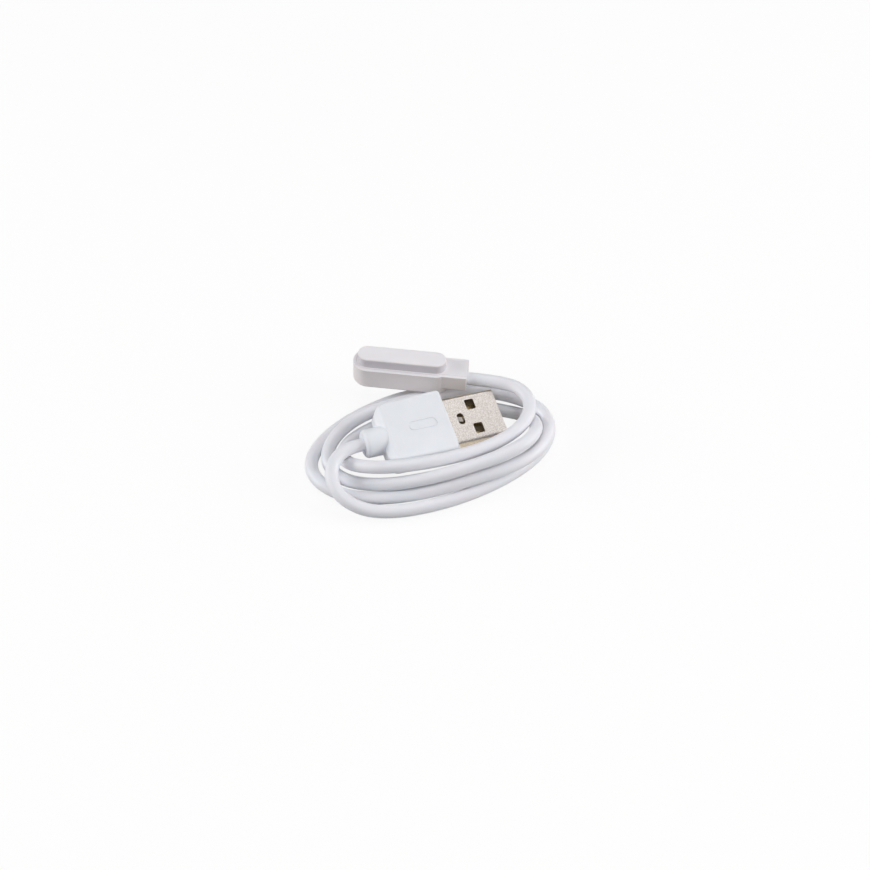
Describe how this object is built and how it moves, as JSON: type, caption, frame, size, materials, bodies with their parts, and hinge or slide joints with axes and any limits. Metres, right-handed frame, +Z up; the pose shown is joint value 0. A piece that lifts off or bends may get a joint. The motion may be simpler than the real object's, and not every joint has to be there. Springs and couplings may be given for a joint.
{
  "type": "smartwatch charging cable",
  "caption": "White USB-A charging cable in loose turns, with a flat obround magnetic head and sprung contact pins for a smartwatch.",
  "frame": {"origin": "on the floor, under the middle of the plug and the head taken together", "axes": "+Z up; +X from the plug's neck towards its tip, along the long way of the turns; +Y to the back, where the head lies"},
  "size_m": [0.0575, 0.0427, 0.0139],
  "materials": {
    "moulding": "matt moulded white with a fine grain",
    "nickel": "warm nickel plate, finely blasted",
    "insulator": "matt black moulding",
    "gold": "gold flash",
    "jacket": "satin white elastomer",
    "head": "satin moulded white",
    "magnet": "nickel plated",
    "board": "green solder mask",
    "spring_steel": "bright drawn wire"
  },
  "bodies": {
    "cable": {"plug_overmold": "moulding", "usb_shell": "nickel", "usb_insulator": "insulator", "usb_contact_1": "gold", "usb_contact_2": "gold", "usb_contact_3": "gold", "usb_contact_4": "gold", "cord": "jacket", "head_housing": "head", "head_cover": "head", "magnet_left": "magnet", "magnet_right": "magnet", "pin_board": "board", "pin_barrel_1": "gold", "pin_barrel_2": "gold", "pin_spring_1": "spring_steel", "pin_spring_2": "spring_steel"},
    "pin_1": {"pin_plunger_1": "gold"},
    "pin_2": {"pin_plunger_2": "gold"}
  },
  "joints": [
    {"name": "pin_1_slide", "type": "slide", "parent": "cable", "child": "pin_1", "axis": [0.021, -0.0024, 0.9998], "range_m": [0, 0.0006], "stiffness_N_per_m": 200, "springref_m": -0.001, "deforming": ["pin_spring_1"]},
    {"name": "pin_2_slide", "type": "slide", "parent": "cable", "child": "pin_2", "axis": [0.021, -0.0024, 0.9998], "range_m": [0, 0.0006], "stiffness_N_per_m": 200, "springref_m": -0.001, "deforming": ["pin_spring_2"]}
  ]
}
